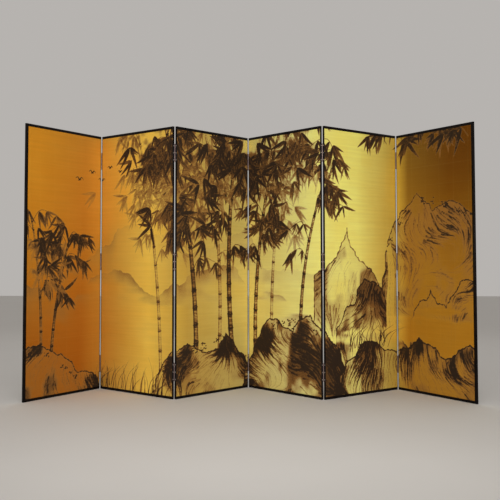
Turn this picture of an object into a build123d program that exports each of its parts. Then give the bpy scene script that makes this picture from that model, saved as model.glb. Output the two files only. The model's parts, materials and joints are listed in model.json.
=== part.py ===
from build123d import *

import os

# Six-panel folding screen. Millimetres, +Z up, pictures facing -Y, origin at the middle of the
# footprint on the floor. A panel is built lying along +X from its left edge, its front at y = 0,
# and then stands at its place in the zigzag. A fold is a valley where the pictures turn towards
# each other, with its hinges on the front, and a mountain where the backs do, with them behind.

# Panels
PANEL_HEIGHT = 1515.0
PANEL_WIDTH = 606.0
# What each panel turns from the length of the screen, from the left
PANEL_ANGLES = (58.0, 40.0, 49.0, 49.0, 40.0, 58.0)

# Black lacquered frame: rails above and below, a stile at each end of the screen, and a thin
# strip along every edge that carries hinges
FRAME_DEPTH = 12.0
FRAME_FACE = 15.0
FRAME_ARRIS = 1.0
EDGE_STRIP = 2.0

# Papered faces, which lie a little below the frame
FACE_RECESS = 1.1
PICTURE_THICKNESS = 1.2
BACKING_THICKNESS = 0.8

# Cedar lattice between the two faces, half-lapped where its members cross
BORDER_WIDTH = 20.0
SLAT_WIDTH = 12.0
SLAT_STUB = 6.0
UPRIGHT_SLATS = 2
CROSS_SLATS = 4

# Butt hinges: leaves on the facing edges of two panels, a barrel just clear of their faces
HINGE_LENGTH = 102.0
HINGE_INSET = 149.0
HINGES_PER_FOLD = 3
LEAF_THICKNESS = 1.0
LEAF_CLEARANCE = 0.4
LEAF_MARGIN = 1.0
LEAF_CORNER = 2.5
BARREL_RADIUS = 2.2
BARREL_CLEARANCE = 0.2
KNUCKLES = 3
KNUCKLE_CLEARANCE = 0.3
PIN_RADIUS = 1.0
PIN_CLEARANCE = 0.05
# There are so many barrels and pins that each has few sides
BARREL_SIDES = 8

# Countersunk wood screws, the same number in every leaf, with few sides for the same reason
SCREWS_PER_LEAF = 3
SCREW_INSET = 11.0
SCREW_LENGTH = 16.0
SCREW_HEAD_RADIUS = 3.0
SCREW_SHANK_RADIUS = 1.5
SCREW_SIDES = 6

# Worked out from the sizes above
PANELS = len(PANEL_ANGLES)
LATTICE_FRONT = FACE_RECESS + PICTURE_THICKNESS
LATTICE_BACK = FRAME_DEPTH - FACE_RECESS - BACKING_THICKNESS
LATTICE_MIDDLE = (LATTICE_FRONT + LATTICE_BACK) / 2
FOLD_GAP = 2 * LEAF_THICKNESS + LEAF_CLEARANCE
AXIS_OFFSET = BARREL_RADIUS + BARREL_CLEARANCE
LEAF_END = AXIS_OFFSET + FRAME_DEPTH - LEAF_MARGIN


def block(x, y, z):
    """A box between two values along each axis."""
    size = [high - low for low, high in (x, y, z)]
    return Pos(x[0], y[0], z[0]) * Box(*size, align=(Align.MIN, Align.MIN, Align.MIN))


def spread(count, low, high):
    """Even places for some pieces in a row, from the first at low to the last at high."""
    if count == 1:
        return [(low + high) / 2]
    return [low + (high - low) * step / (count - 1) for step in range(count)]


def between(count, low, high):
    """Even places for some pieces that divide the space between low and high."""
    return spread(count + 2, low, high)[1:-1]


def frame_member(length, mitre_start, mitre_end):
    """A lacquered member along +X with its outer side at z = 0, mitred at the ends asked for."""
    section = Pos(FRAME_DEPTH / 2, FRAME_FACE / 2) * Rectangle(FRAME_DEPTH, FRAME_FACE)
    section = chamfer(section.vertices(), FRAME_ARRIS)
    member = extrude(Plane.YZ * section, length)
    start = FRAME_FACE if mitre_start else 0
    end = length - FRAME_FACE if mitre_end else length
    outline = Polygon((0, 0), (length, 0), (end, FRAME_FACE), (start, FRAME_FACE), align=None)
    return member & extrude(Plane.XZ * outline, -FRAME_DEPTH)


def frame_pieces(first, last):
    """The frame round a panel, whose first or last edge may be the end of the screen."""
    bottom = frame_member(PANEL_WIDTH, first, last)
    top = Pos(PANEL_WIDTH, 0, PANEL_HEIGHT) * Rot(0, 180, 0) * frame_member(PANEL_WIDTH, last, first)
    stile = frame_member(PANEL_HEIGHT, True, True)
    pieces = {"bottom_rail": [bottom], "top_rail": [top]}
    strips = []
    if first:
        pieces["outer_stile"] = [Pos(0, 0, PANEL_HEIGHT) * Rot(0, 90, 0) * stile]
    else:
        strips.append(edge_strip(0))
    if last:
        pieces["outer_stile"] = [Pos(PANEL_WIDTH, 0, 0) * Rot(0, -90, 0) * stile]
    else:
        strips.append(edge_strip(PANEL_WIDTH - EDGE_STRIP))
    pieces["edge_strips" if len(strips) > 1 else "edge_strip"] = strips
    return pieces


def edge_strip(x):
    """The thin strip that closes a hinged edge, between the rails."""
    height = (FRAME_FACE, PANEL_HEIGHT - FRAME_FACE)
    return block((x, x + EDGE_STRIP), (0, FRAME_DEPTH), height)


def lattice(left, right):
    """A border and slats, the uprights lapped over the front of the cross pieces."""
    low, high = FRAME_FACE, PANEL_HEIGHT - FRAME_FACE
    depth = (LATTICE_FRONT, LATTICE_BACK)
    inner_left, inner_right = left + BORDER_WIDTH, right - BORDER_WIDTH
    inner_low, inner_high = low + BORDER_WIDTH, high - BORDER_WIDTH
    slat_height = (inner_low - SLAT_STUB, inner_high + SLAT_STUB)
    slat_length = (inner_left - SLAT_STUB, inner_right + SLAT_STUB)
    uprights = [block((x, x + BORDER_WIDTH), depth, (low, high)) for x in (left, inner_right)]
    crosses = [block((left, right), depth, (z, z + BORDER_WIDTH)) for z in (low, inner_high)]
    for x in between(UPRIGHT_SLATS, inner_left, inner_right):
        uprights.append(block((x - SLAT_WIDTH / 2, x + SLAT_WIDTH / 2), depth, slat_height))
    for z in between(CROSS_SLATS, inner_low, inner_high):
        crosses.append(block(slat_length, depth, (z - SLAT_WIDTH / 2, z + SLAT_WIDTH / 2)))
    front_half = block((left, right), (LATTICE_FRONT, LATTICE_MIDDLE), (low, high))
    back_half = block((left, right), (LATTICE_MIDDLE, LATTICE_BACK), (low, high))
    over = [piece & front_half for piece in uprights]
    under = [piece & back_half for piece in crosses]
    return [piece - under for piece in uprights] + [piece - over for piece in crosses]


def panel_pieces(number):
    """Everything of one panel but its hinges, as lists of solids by name."""
    first, last = number == 1, number == PANELS
    left = FRAME_FACE if first else EDGE_STRIP
    right = PANEL_WIDTH - (FRAME_FACE if last else EDGE_STRIP)
    width, height = (left, right), (FRAME_FACE, PANEL_HEIGHT - FRAME_FACE)
    pieces = frame_pieces(first, last)
    pieces["lattice"] = lattice(left, right)
    pieces["picture"] = [block(width, (FACE_RECESS, LATTICE_FRONT), height)]
    pieces["backing"] = [block(width, (LATTICE_BACK, FRAME_DEPTH - FACE_RECESS), height)]
    return pieces


def knuckle_ends(index):
    """Where one knuckle of the barrel starts and ends."""
    pitch = HINGE_LENGTH / KNUCKLES
    low = index * pitch + (KNUCKLE_CLEARANCE / 2 if index > 0 else 0)
    high = (index + 1) * pitch - (KNUCKLE_CLEARANCE / 2 if index < KNUCKLES - 1 else 0)
    return low, high


def screw():
    """A countersunk screw along +Z, its head flush with z = 0."""
    head = RegularPolygon(SCREW_HEAD_RADIUS, SCREW_SIDES)
    shank = RegularPolygon(SCREW_SHANK_RADIUS, SCREW_SIDES)
    neck = Pos(0, 0, LEAF_THICKNESS) * shank
    return loft([head, neck]) + extrude(neck, SCREW_LENGTH - LEAF_THICKNESS)


def leaf_screws():
    """The screws of the left leaf, in from the middle of the gap."""
    across = AXIS_OFFSET + FRAME_DEPTH / 2
    face = LEAF_THICKNESS - FOLD_GAP / 2
    heights = spread(SCREWS_PER_LEAF, SCREW_INSET, HINGE_LENGTH - SCREW_INSET)
    return [Pos(face, across, z) * Rot(0, -90, 0) * screw() for z in heights]


def leaf(knuckles):
    """The left leaf, with the pin's axis on Z and the panel towards -X from the gap's side."""
    side = (-FOLD_GAP / 2, LEAF_THICKNESS - FOLD_GAP / 2)
    plate = block(side, (AXIS_OFFSET, LEAF_END), (0, HINGE_LENGTH))
    corners = plate.edges().filter_by(Axis.X).group_by(Axis.Y)[-1]
    plate = chamfer(corners, LEAF_CORNER)
    for index in knuckles:
        low, high = knuckle_ends(index)
        plate += block(side, (0, AXIS_OFFSET), (low, high))
        plate += Pos(0, 0, low) * extrude(RegularPolygon(BARREL_RADIUS, BARREL_SIDES), high - low)
    bore = RegularPolygon(PIN_RADIUS + PIN_CLEARANCE, BARREL_SIDES, major_radius=False)
    return plate - extrude(bore, HINGE_LENGTH) - leaf_screws()


def pin():
    """The pin, as long as the barrel."""
    return extrude(RegularPolygon(PIN_RADIUS, BARREL_SIDES), HINGE_LENGTH)


def hinge():
    """One hinge on a valley fold: the left and right leaf with their screws, and the pin."""
    outer_knuckles = range(0, KNUCKLES, 2)
    inner_knuckles = range(1, KNUCKLES, 2)
    flipped = mirror(leaf(inner_knuckles), Plane.YZ)
    return {
        "left_leaf": [leaf(outer_knuckles)],
        "right_leaf": [flipped],
        "left_screws": leaf_screws(),
        "right_screws": [mirror(piece, Plane.YZ) for piece in leaf_screws()],
        "pin": [pin()],
    }


def is_valley(fold):
    """Folds alternate from the left, and the first is a valley."""
    return fold % 2 == 1


def axis_place(fold, edge):
    """The pin's axis of a fold beside the left (0) or right (PANEL_WIDTH) edge of a panel."""
    beside = -FOLD_GAP / 2 if edge == 0 else edge + FOLD_GAP / 2
    return Pos(beside, -AXIS_OFFSET if is_valley(fold) else FRAME_DEPTH + AXIS_OFFSET)


def panel_places():
    """Where each panel stands, walked from the left from fold to fold."""
    places = [Rot(0, 0, PANEL_ANGLES[0])]
    for fold in range(1, PANELS):
        turn = PANEL_ANGLES[fold - 1] + PANEL_ANGLES[fold]
        swing = Rot(0, 0, -turn if is_valley(fold) else turn)
        places.append(places[-1] * axis_place(fold, PANEL_WIDTH) * swing * axis_place(fold, 0).inverse())
    return places


def fold_pieces(fold, place_left):
    """The hinges of one fold on the panel to its left, and what belongs to the panel on the right."""
    turn = Rot(0, 0, 0 if is_valley(fold) else 180)
    lift = spread(HINGES_PER_FOLD, HINGE_INSET, PANEL_HEIGHT - HINGE_INSET)
    raised = [Pos(0, 0, z - HINGE_LENGTH / 2) for z in lift]
    pieces = {}
    for name, solids in hinge().items():
        pieces[name] = [place_left * turn * up * solid for up in raised for solid in solids]
    return pieces


def build():
    """Every node's solids at their place in the open screen."""
    nodes = {}
    places = panel_places()
    screws = {number: [] for number in range(1, PANELS + 1)}
    for number, place in enumerate(places, start=1):
        for name, solids in panel_pieces(number).items():
            nodes[f"panel_{number}_{name}"] = [place * solid for solid in solids]
    for fold in range(1, PANELS):
        on_left = places[fold - 1] * axis_place(fold, PANEL_WIDTH)
        on_right = places[fold] * axis_place(fold, 0)
        left, right = fold_pieces(fold, on_left), fold_pieces(fold, on_right)
        sides = ("left", "right") if is_valley(fold) else ("right", "left")
        nodes[f"fold_{fold}_left_leaves"] = left[f"{sides[0]}_leaf"]
        nodes[f"fold_{fold}_right_leaves"] = right[f"{sides[1]}_leaf"]
        nodes[f"fold_{fold}_pins"] = (left if is_valley(fold) else right)["pin"]
        screws[fold] += left[f"{sides[0]}_screws"]
        screws[fold + 1] += right[f"{sides[1]}_screws"]
    for number, solids in screws.items():
        nodes[f"panel_{number}_screws"] = solids
    return nodes


def main():
    nodes = build()
    box = Compound([solid for solids in nodes.values() for solid in solids]).bounding_box()
    centre = box.center()
    shift = Pos(-centre.X, -centre.Y, -box.min.Z)
    os.makedirs("parts", exist_ok=True)
    for name, solids in nodes.items():
        export_step(Compound(label=name, children=[shift * solid for solid in solids]), f"parts/{name}.step")
    print(len(nodes), "nodes", box.size)


main()
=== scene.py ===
"""Finishes a six-panel folding screen: ink pictures on a gold ground, lacquer frame, hinges, backs."""

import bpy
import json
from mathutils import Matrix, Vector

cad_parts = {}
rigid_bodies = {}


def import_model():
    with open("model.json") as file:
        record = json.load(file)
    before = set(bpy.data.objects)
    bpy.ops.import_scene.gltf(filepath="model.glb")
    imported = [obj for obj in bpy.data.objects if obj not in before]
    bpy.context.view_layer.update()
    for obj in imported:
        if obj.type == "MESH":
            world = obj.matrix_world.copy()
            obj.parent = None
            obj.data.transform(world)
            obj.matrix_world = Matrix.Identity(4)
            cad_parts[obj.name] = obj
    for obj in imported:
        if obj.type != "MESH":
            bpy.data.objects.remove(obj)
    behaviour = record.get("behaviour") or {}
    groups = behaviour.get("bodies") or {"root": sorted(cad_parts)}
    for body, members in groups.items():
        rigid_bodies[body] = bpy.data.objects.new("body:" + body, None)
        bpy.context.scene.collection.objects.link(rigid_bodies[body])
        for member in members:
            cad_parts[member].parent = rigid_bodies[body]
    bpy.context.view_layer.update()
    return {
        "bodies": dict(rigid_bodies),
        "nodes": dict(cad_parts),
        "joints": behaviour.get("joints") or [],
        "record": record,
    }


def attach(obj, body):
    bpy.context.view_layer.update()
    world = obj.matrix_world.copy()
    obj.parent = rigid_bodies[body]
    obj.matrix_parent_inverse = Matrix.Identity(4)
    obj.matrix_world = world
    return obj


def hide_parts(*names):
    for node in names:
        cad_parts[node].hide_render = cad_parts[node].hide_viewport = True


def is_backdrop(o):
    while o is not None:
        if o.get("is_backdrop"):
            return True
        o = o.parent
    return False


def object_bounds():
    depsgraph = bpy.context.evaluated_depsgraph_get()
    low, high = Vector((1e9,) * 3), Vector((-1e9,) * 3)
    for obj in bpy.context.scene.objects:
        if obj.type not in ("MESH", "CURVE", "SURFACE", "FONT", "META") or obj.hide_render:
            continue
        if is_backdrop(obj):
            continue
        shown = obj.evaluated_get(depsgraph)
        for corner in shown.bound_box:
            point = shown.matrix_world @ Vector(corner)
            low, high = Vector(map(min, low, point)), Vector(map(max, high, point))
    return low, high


bl_info = {
    "name": "Folding Screen",
    "version": (1, 0, 0),
    "blender": (4, 5, 0),
    "location": "View3D > Sidebar > Folding Screen",
    "description": "Gold-ground pictures, lacquer frames, hinges and backs for a folding screen",
    "category": "Object",
}

import json
import math

import bmesh
import bpy
import numpy as np
from bpy.props import FloatProperty, FloatVectorProperty, IntProperty, PointerProperty
from mathutils import Matrix, Vector

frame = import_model()
PANELS = len(frame["bodies"])
FOLDS = len(frame["joints"])

# Lengths in metres that count as the same place, or as beside each other
SAME = 1e-6
CLOSE = 1e-5
# Edges sharper than this many degrees are shaded as edges
SHARP = 35
# Edges that turn by more than this many radians are arrises, which are rounded
ARRIS = 1.2
# A face stands upright when its normal rises less than this
UPRIGHT = 0.1
# Sides of a screw's head and of its hole, and of a pin, and how much of a pin's radius is domed
HEAD_SIDES, PIN_SIDES, DOME = 12, 16, 0.45
# Each screw's slot is turned by this many radians from the last one's
SLOT_TURN = 2.4
# Gaps in metres that part one hinge, one screw and one strip from the next
HINGE_GAP, SCREW_GAP, STRIP_GAP = 0.2, 0.004, 0.1
# A hinge leaf's corners within this share of its outer radius belong to its knuckles
BARREL = 1.03
# How far a knuckle is rolled, in degrees, and in how many steps
ROLL, ROLL_STEPS = 275, 15
# Beyond this share of its outer radius a leaf is flat plate, which is blacked
PLATE = 1.02
# Within this share of a hole's radius the corners of a leaf belong to the hole
HOLE_REACH = 1.3
# How near its ends a screw's point and the edge of its head are looked for, in metres
POINT, HEAD_EDGE = 0.001, 0.0002
# Points of a hill's or a rock's broken crest
CREST_POINTS = 220
# Up to this height in metres the light and shade painted into the gold change from their low tones to their
# high ones
PAINTED_SHADE_HEIGHT = 1.5


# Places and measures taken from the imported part


def spans(values, gap):
    """The stretches that some values fall into, where those further apart than gap are parted."""
    values = sorted(values)
    starts = [values[0]] + [b for a, b in zip(values, values[1:]) if b - a > gap]
    ends = [a for a, b in zip(values, values[1:]) if b - a > gap] + [values[-1]]
    return list(zip(starts, ends))


def bounds_of(points):
    """The lowest and highest corner of some points."""
    return [Vector([pick(p[i] for p in points) for i in range(3)]) for pick in (min, max)]


def corners_of(node, matrix):
    """The corners of a node of the part, seen from a place."""
    inverse = matrix.inverted()
    return [inverse @ vertex.co for vertex in frame["nodes"][node].data.vertices]


class PanelPlace:
    """Where a panel stands: x along it from its left edge, y back from its front, z up."""

    def __init__(self, number):
        self.number = number
        rail = f"panel_{number}_bottom_rail"
        faces = frame["nodes"][rail].data.polygons
        fronts = [face for face in faces if face.normal.y < 0 and abs(face.normal.z) < UPRIGHT]
        facing = max(fronts, key=lambda face: face.area).normal
        along, back = Vector((-facing.y, facing.x, 0)), Vector((-facing.x, -facing.y, 0))
        turn = Matrix((along, back, (0, 0, 1))).transposed().to_4x4()
        low, high = bounds_of(corners_of(rail, turn))
        self.matrix = turn @ Matrix.Translation((low.x, low.y, 0))
        self.width = high.x - low.x

    def points(self, node):
        """A node's corners in the panel's own measure."""
        return corners_of(node, self.matrix)

    def box(self, node):
        """A node's lowest and highest corner in the panel's own measure."""
        return bounds_of(self.points(node))


PLACES = {number: PanelPlace(number) for number in range(1, PANELS + 1)}
BODIES = frame["record"]["behaviour"]["bodies"]
BODY_OF = {node: body for body, nodes in BODIES.items() for node in nodes}
# Width of a panel, and length of the whole picture with the panels laid side by side
WIDTH = PLACES[1].width
LENGTH = WIDTH * PANELS


# Meshes


def add_object(name, data):
    """An object in the scene."""
    made = bpy.data.objects.new(name, data)
    bpy.context.scene.collection.objects.link(made)
    return made


def finish_piece(bm, name, matrix, body, nodes, material, smooth=True):
    """Turns a bmesh into a finished piece on its body, in place of some nodes of the part."""
    bmesh.ops.transform(bm, matrix=matrix, verts=bm.verts)
    bmesh.ops.recalc_face_normals(bm, faces=bm.faces)
    mesh = bpy.data.meshes.new(name)
    bm.to_mesh(mesh)
    bm.free()
    if smooth:
        mesh.shade_smooth()
        mesh.set_sharp_from_angle(angle=math.radians(SHARP))
    mesh.materials.append(material)
    piece = add_object(name, mesh)
    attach(piece, body)
    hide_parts(*nodes)
    return piece


def replace_node(bm, node, finish, matrix, material):
    """A finished piece in place of one node, named after it and its finish, on the same body."""
    finish_piece(bm, f"{node}_{finish}", matrix, BODY_OF[node], [node], material)


def of_kind(kind, items):
    """The corners, edges or faces among some pieces of a mesh."""
    return [item for item in items if isinstance(item, kind)]


def bevel(bm, geom, offset, segments, affect="EDGES"):
    """Rounds edges or corners."""
    bmesh.ops.bevel(
        bm, geom=geom, offset=offset, segments=segments, profile=0.5, affect=affect, material=-1
    )


def cut(bm, place, normal, clear_outer=False):
    """Cuts a mesh along a plane and returns the edges of the cut."""
    everything = bm.verts[:] + bm.edges[:] + bm.faces[:]
    made = bmesh.ops.bisect_plane(
        bm, geom=everything, plane_co=place, plane_no=normal, clear_outer=clear_outer
    )
    return of_kind(bmesh.types.BMEdge, made["geom_cut"])


def add_bar(
    bm, low, high, rounding, mitre_left=False, mitre_right=False, up=1, end=None, corner=0.0
):
    """A rounded bar between two corners. A mitred end slopes inwards towards the side that up names.
    The edges beside the end face that end names, an axis and a place on it, get the wider corner."""
    bar = bmesh.new()
    bmesh.ops.create_cube(bar, size=1)
    bmesh.ops.scale(bar, vec=high - low, verts=bar.verts)
    bmesh.ops.translate(bar, vec=(low + high) / 2, verts=bar.verts)
    edges = bar.edges[:]
    if end:
        axis, place = end
        across = [e for e in edges if all(abs(v.co[axis] - place) < CLOSE for v in e.verts)]
        wide = [e for e in across if abs(e.verts[0].co.y - e.verts[1].co.y) < CLOSE]
        bevel(bar, wide, corner, 4)
        edges = [e for e in bar.edges if e.calc_face_angle() > ARRIS]
    bevel(bar, edges, rounding, 3)
    outer = low.z if up > 0 else high.z
    for wanted, end, side in ((mitre_left, low.x, -1), (mitre_right, high.x, 1)):
        if wanted:
            rim = cut(bar, (end, 0, outer), (side, 0, up), clear_outer=True)
            bmesh.ops.contextual_create(bar, geom=rim)
    join(bm, bar)


def join(bm, other, matrix=None):
    """Adds a second bmesh to the first."""
    if matrix is not None:
        bmesh.ops.transform(other, matrix=matrix, verts=other.verts)
    mesh = bpy.data.meshes.new("part")
    other.to_mesh(mesh)
    other.free()
    bm.from_mesh(mesh)
    bpy.data.meshes.remove(mesh)


# Shaders


class Value:
    """A shader socket that works with Python's operators."""

    def __init__(self, shader, socket):
        self.shader, self.socket = shader, socket

    def maths(self, operation, *others):
        inputs = dict(enumerate((self, *others)))
        return self.shader.add("ShaderNodeMath", {"operation": operation}, inputs)

    def __add__(self, other):
        return self.maths("ADD", other)

    __radd__ = __add__

    def __mul__(self, other):
        return self.maths("MULTIPLY", other)

    __rmul__ = __mul__

    def __sub__(self, other):
        return self.maths("SUBTRACT", other)

    def __rsub__(self, other):
        return (self * -1) + other

    def __truediv__(self, other):
        return self.maths("DIVIDE", other)

    def smooth(self, low, high):
        """0 below low, 1 above high, and a soft step between them."""
        settings = {"interpolation_type": "SMOOTHSTEP"}
        inputs = {"Value": self, "From Min": low, "From Max": high}
        return self.shader.add("ShaderNodeMapRange", settings, inputs)


class Shader:
    """A material under construction."""

    def __init__(self, name):
        self.material = bpy.data.materials.new(name)
        self.material.use_nodes = True
        self.tree = self.material.node_tree
        self.tree.nodes.clear()

    def add(self, kind, settings=None, inputs=None, output=0):
        """A node of a kind with its settings and inputs, as the value of an output if it has one."""
        node = self.tree.nodes.new(kind)
        for name, setting in (settings or {}).items():
            if name == "stops":
                ramp = node.color_ramp.elements
                ramp.remove(ramp[1])
                ramp[0].position, ramp[0].color = setting[0][0], (*setting[0][1], 1)
                for position, colour in setting[1:]:
                    ramp.new(position).color = (*colour, 1)
            else:
                setattr(node, name, setting)
        for name, value in (inputs or {}).items():
            if isinstance(value, Value):
                self.tree.links.new(value.socket, node.inputs[name])
            else:
                node.inputs[name].default_value = value
        return Value(self, node.outputs[output]) if node.outputs else None

    def noise(self, at, size, stretch=(1, 1, 1), detail=3.0, roughness=0.55, distortion=0.0):
        """Noise with blotches of about a size in metres, stretched along the axes."""
        scale = [1 / (size * s) for s in stretch]
        mapped = self.add("ShaderNodeMapping", {}, {"Vector": at, "Scale": scale})
        inputs = {"Vector": mapped, "Scale": 1, "Detail": detail}
        inputs.update({"Roughness": roughness, "Distortion": distortion})
        return self.add("ShaderNodeTexNoise", {}, inputs)

    def mix(self, factor, first, second, blend="MIX"):
        """Two colours mixed by a factor."""
        settings = {"data_type": "RGBA", "blend_type": blend, "clamp_factor": True}
        first, second = (c if isinstance(c, Value) else (*c, 1) for c in (first, second))
        return self.add("ShaderNodeMix", settings, {0: factor, 6: first, 7: second}, output=2)

    def bump(self, height, distance, strength):
        """A normal from a height that goes from 0 to 1 over a distance in metres."""
        inputs = {"Height": height, "Distance": distance, "Strength": strength}
        return self.add("ShaderNodeBump", {}, inputs)

    def finish(self, **inputs):
        """Closes the material with one shader, whose sockets are named with underscores for spaces."""
        named = {name.replace("_", " "): value for name, value in inputs.items()}
        surface = self.add("ShaderNodeBsdfPrincipled", {}, named)
        self.add("ShaderNodeOutputMaterial", {}, {"Surface": surface})
        return self.material

    def place(self):
        """Where a point of the object is, in metres."""
        return self.add("ShaderNodeTexCoord", output="Object")

    def parts(self, at):
        """The three numbers of a place."""
        outputs = self.add("ShaderNodeSeparateXYZ", {}, {"Vector": at}).socket.node.outputs
        return [Value(self, output) for output in outputs]

    def mark(self, name):
        """A number that the mesh carries at its corners, 0 where it carries none."""
        return self.add("ShaderNodeAttribute", {"attribute_name": name}, output="Fac")


def gilded_picture(settings):
    """Ink on squares of gold leaf over paper, with light and shade painted into the gold's colour."""
    s = Shader("gilded_picture")
    at = s.add("ShaderNodeUVMap", {"uv_map": "unfolded"})
    x, y, _ = s.parts(at)
    ink = s.mark("ink")

    # Squares of leaf, each a little different, with their overlaps showing as fine lines
    across, up = x / settings.leaf_size, y / settings.leaf_size
    floors = {"X": across.maths("FLOOR"), "Y": up.maths("FLOOR")}
    cell = s.add("ShaderNodeCombineXYZ", {}, floors)
    shade = s.add("ShaderNodeTexWhiteNoise", {"noise_dimensions": "2D"}, {"Vector": cell})
    wander = s.noise(at, 0.03, detail=2) * 0.03
    laps = [(side + wander).maths("FRACT").maths("LESS_THAN", 0.022) for side in (across, up)]
    laps = laps[0].maths("MAXIMUM", laps[1])

    # Streaks and bands along the length of the screen, cloudy wear and specks
    streaks = s.noise(at, 0.0016, stretch=(60, 1, 1), detail=2)
    bands = s.noise(at, 0.014, stretch=(30, 1, 1), detail=1)
    clouds = s.noise(at, 0.22, stretch=(1.6, 1, 1), detail=4)
    grain = s.noise(at, 0.0025, detail=2, roughness=0.7)

    # Painted light and shade in the gold's colour along the screen: darker at both ends and near some
    # folds, lightest right of the middle, and different low and high at the two ends
    centre = (
        (0.28, settings.gold),
        (0.36, settings.painted_shade_middle),
        (0.62, settings.painted_light_pale),
        (0.7, settings.painted_highlight),
        (0.74, settings.painted_highlight),
        (0.83, settings.gold * settings.painted_shade_fading),
    )
    low = (0.12, settings.painted_shade_end), *centre, (0.86, settings.painted_shade_side * settings.right_side_shade)
    left = (0.03, settings.painted_shade_side), (0.13, settings.painted_shade_fold)
    right = (0.86, settings.painted_shade_turn), (0.95, settings.painted_shade_end * settings.right_end_shade)
    high = *left, *centre, *right
    along = {"Fac": x / LENGTH}
    low, high = (s.add("ShaderNodeValToRGB", {"stops": stops}, along) for stops in (low, high))
    # Painted light and shade change from the low tones to the high ones up the screen
    ground = s.mix((y / PAINTED_SHADE_HEIGHT).smooth(0.15, 0.95), low, high)
    worn = clouds.smooth(0.3, 0.75) * 0.5 + shade * 0.16 + streaks.smooth(0.35, 0.8) * 0.35
    ground = s.mix(worn, ground, settings.gold_worn, "MULTIPLY")
    ground = s.mix(bands.smooth(0.3, 0.7) * 0.3, ground, (0.88, 0.86, 0.82), "MULTIPLY")
    ground = s.mix(laps * 0.3, ground, settings.gold_lap, "SCREEN")

    # Ink pools unevenly, its thin edges break up over the grain of the leaf, and thin ink is brown
    broken = ink + (grain - 0.5) * 0.3 * (ink * (1 - ink) * 4)
    inked = (broken / 0.5).smooth(0.0, 1.0)
    washed = s.mix(inked, ground, settings.wash)
    relief = streaks * 0.35 + laps * 0.5 + grain * 0.3 + inked * 0.4
    return s.finish(
        Base_Color=s.mix(broken.smooth(0.24, 0.78), washed, settings.ink),
        Metallic=0.92 * (1 - inked * 0.95),
        Roughness=0.74 + 0.12 * grain + 0.12 * inked,
        Specular_IOR_Level=0.2,
        Normal=s.bump(relief, 0.0004, 0.5),
    )


def black_lacquer(settings):
    """Polished black lacquer with faint swirls of wear."""
    s = Shader("black_lacquer")
    at = s.place()
    wear = s.noise(at, 0.05, detail=5, roughness=0.65)
    dust = s.noise(at, 0.0015, detail=3, roughness=0.8)
    return s.finish(
        Base_Color=s.mix(wear.smooth(0.45, 0.85) * 0.6, settings.lacquer, settings.lacquer_worn),
        Roughness=0.22 + wear.smooth(0.3, 0.8) * 0.16 + dust * 0.08,
        Specular_IOR_Level=0.1,
        Normal=s.bump(dust * 0.4 + wear, 0.0003, 0.3),
    )


def hinge_metal(name, colour, settings, roughness):
    """Metal gone dark, brighter in scratches, and blacked where the mesh is marked as plate."""
    s = Shader(name)
    at = s.place()
    patches = s.noise(at, 0.012, detail=4, roughness=0.65)
    scratches = s.noise(at, 0.0006, stretch=(1, 1, 12), detail=2)
    shine = patches.smooth(0.4, 0.75) * 0.45 + scratches.smooth(0.6, 0.75) * 0.4
    metal = s.mix(shine, colour, settings.metal_bright)
    return s.finish(
        Base_Color=s.mix(s.mark("plate") * 0.95, metal, (0.02, 0.018, 0.02)),
        Metallic=0.9,
        Roughness=roughness + patches * 0.25 - shine * 0.12,
        Normal=s.bump(patches + scratches * 0.3, 0.0002, 0.4),
    )


def backing_paper(settings):
    """Thick handmade paper in sheets, with long fibres."""
    s = Shader("backing_paper")
    at = s.place()
    fibres = s.noise(at, 0.0012, stretch=(9, 9, 1), detail=3, distortion=1.5)
    clouds = s.noise(at, 0.12, detail=4)
    sheets = s.parts(at)[2] / settings.sheet_height
    joints = sheets.maths("FRACT").maths("LESS_THAN", 0.02)
    tone = clouds.smooth(0.3, 0.7) * 0.5 + fibres.smooth(0.5, 0.75) * 0.4
    paper = s.mix(tone, settings.paper, settings.paper_light)
    return s.finish(
        Base_Color=s.mix(joints * 0.35, paper, settings.paper_lap),
        Roughness=0.78 + fibres * 0.12,
        Normal=s.bump(fibres + joints * 0.8 + clouds * 0.3, 0.0004, 0.6),
    )


def cedar(settings):
    """Plain planed cedar."""
    s = Shader("cedar")
    at = s.place()
    rings = s.noise(at, 0.008, stretch=(1, 1, 14), detail=4, distortion=0.6)
    pores = s.noise(at, 0.0012, stretch=(1, 1, 20), detail=2)
    return s.finish(
        Base_Color=s.mix(rings.smooth(0.35, 0.7), settings.cedar, settings.cedar_late),
        Roughness=0.6 + pores * 0.15,
        Normal=s.bump(rings + pores * 0.5, 0.0004, 0.5),
    )


# The picture


def eased(value, low, high):
    """0 below low, 1 above high, and a soft step between them."""
    t = np.clip((value - low) / (high - low), 0, 1)
    return t * t * (3 - 2 * t)


def curve(points, steps):
    """A smooth line through some points."""
    points = np.asarray(points, float)
    padded = np.vstack([2 * points[0] - points[1], points, 2 * points[-1] - points[-2]])
    t = (np.arange(steps) / steps)[:, None]
    line = []
    for a, b, c, d in zip(padded, padded[1:], padded[2:], padded[3:]):
        square, cube = 2 * a - 5 * b + 4 * c - d, 3 * b - a - 3 * c + d
        line.append(0.5 * (2 * b + (c - a) * t + square * t**2 + cube * t**3))
    return np.vstack([*line, points[-1:]])


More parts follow.
